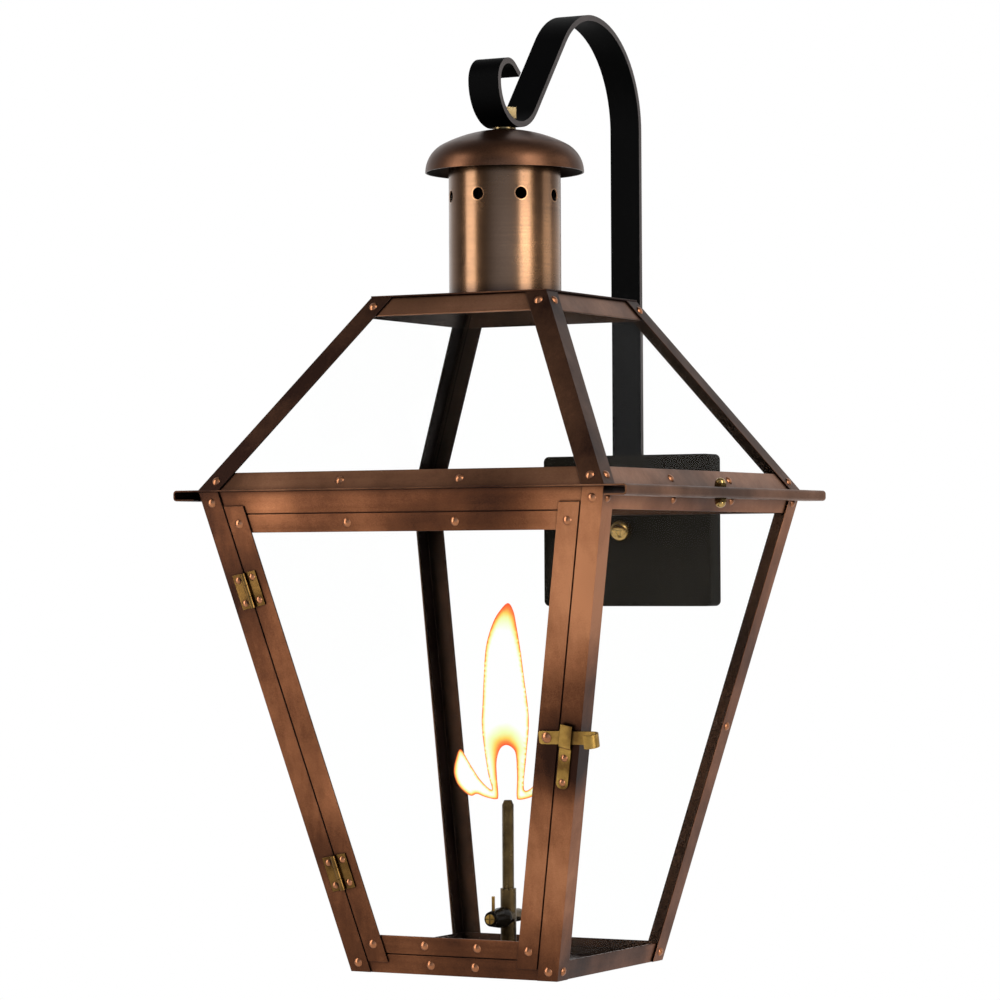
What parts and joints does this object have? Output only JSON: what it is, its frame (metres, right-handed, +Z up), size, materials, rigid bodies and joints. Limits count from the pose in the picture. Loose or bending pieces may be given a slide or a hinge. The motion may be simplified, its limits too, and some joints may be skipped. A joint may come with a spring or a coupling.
{
  "type": "wall lantern",
  "caption": "Tapered copper gas wall lantern with glazed sides and roof, vented chimney, hinged door with latch, burner and black gooseneck wall bracket.",
  "frame": {"origin": "middle of the wall pan's open back, on the wall", "axes": "+Z up, +Y into the wall, lantern stands out along -Y with its door facing -Y"},
  "size_m": [0.424, 0.443, 0.835],
  "materials": {
    "antique_copper": "oiled antique copper sheet",
    "rivet_copper": "bright copper rivet",
    "black_iron": "satin black paint on steel",
    "brass": "aged bare brass",
    "burner_brass": "heat darkened brass",
    "zinc_steel": "zinc plated steel",
    "valve_black": "black moulded knob",
    "clear_glass": "clear window glass"
  },
  "bodies": {
    "frame": {"acorn_nuts": "brass", "ball_nut": "brass", "body_glass": "clear_glass", "bottom_rail_back": "antique_copper", "bottom_rail_front": "antique_copper", "bottom_rail_left": "antique_copper", "bottom_rail_right": "antique_copper", "burner_body": "burner_brass", "burner_tip": "burner_brass", "burner_tube": "burner_brass", "chimney_cap": "antique_copper", "chimney_tube": "antique_copper", "corner_post_back_left": "antique_copper", "corner_post_back_right": "antique_copper", "corner_post_front_left": "antique_copper", "corner_post_front_right": "antique_copper", "door_stops": "antique_copper", "floor_nut": "burner_brass", "floor_pan": "antique_copper", "frame_hinge_leaves": "brass", "frame_rivets": "rivet_copper", "gooseneck_strap": "black_iron", "hanger_bolt": "brass", "hanger_crossbar": "zinc_steel", "hanger_nuts": "brass", "hanger_washer": "brass", "hinge_pins": "brass", "latch_keeper": "brass", "ledge_studs": "brass", "roof_glass": "clear_glass", "roof_hip_back_left": "antique_copper", "roof_hip_back_right": "antique_copper", "roof_hip_front_left": "antique_copper", "roof_hip_front_right": "antique_copper", "roof_rail_back": "antique_copper", "roof_rail_front": "antique_copper", "roof_rail_left": "antique_copper", "roof_rail_right": "antique_copper", "roof_ring": "antique_copper", "roof_top_plate": "antique_copper", "shelf_tray": "antique_copper", "stud_spacer": "zinc_steel", "top_rail_back": "antique_copper", "top_rail_front": "antique_copper", "top_rail_left": "antique_copper", "top_rail_right": "antique_copper", "wall_bar": "zinc_steel", "wall_pan": "black_iron", "wall_stud": "zinc_steel"},
    "door": {"door_stile_left": "antique_copper", "door_stile_right": "antique_copper", "door_top_rail": "antique_copper", "door_bottom_rail": "antique_copper", "door_glass": "clear_glass", "door_hinge_leaves": "brass", "door_rivets": "rivet_copper"},
    "latch": {"latch_tongue": "brass"},
    "valve": {"valve_knob": "valve_black", "valve_screw": "brass", "valve_pin": "brass"}
  },
  "joints": [
    {"name": "door_swing", "type": "hinge", "parent": "frame", "child": "door", "pos_m": [-0.15152, -0.42262, -0.05085], "axis": [0.2163, 0.2163, -0.9521], "range_deg": [0, 115]},
    {"name": "latch_lift", "type": "hinge", "parent": "door", "child": "latch", "pos_m": [0.11434, -0.39397, -0.16976], "axis": [0, -0.9752, -0.2215], "range_deg": [0, 80]},
    {"name": "valve_turn", "type": "hinge", "parent": "frame", "child": "valve", "pos_m": [0, -0.249, -0.33], "axis": [0, -1, 0], "range_deg": [0, 90]}
  ]
}
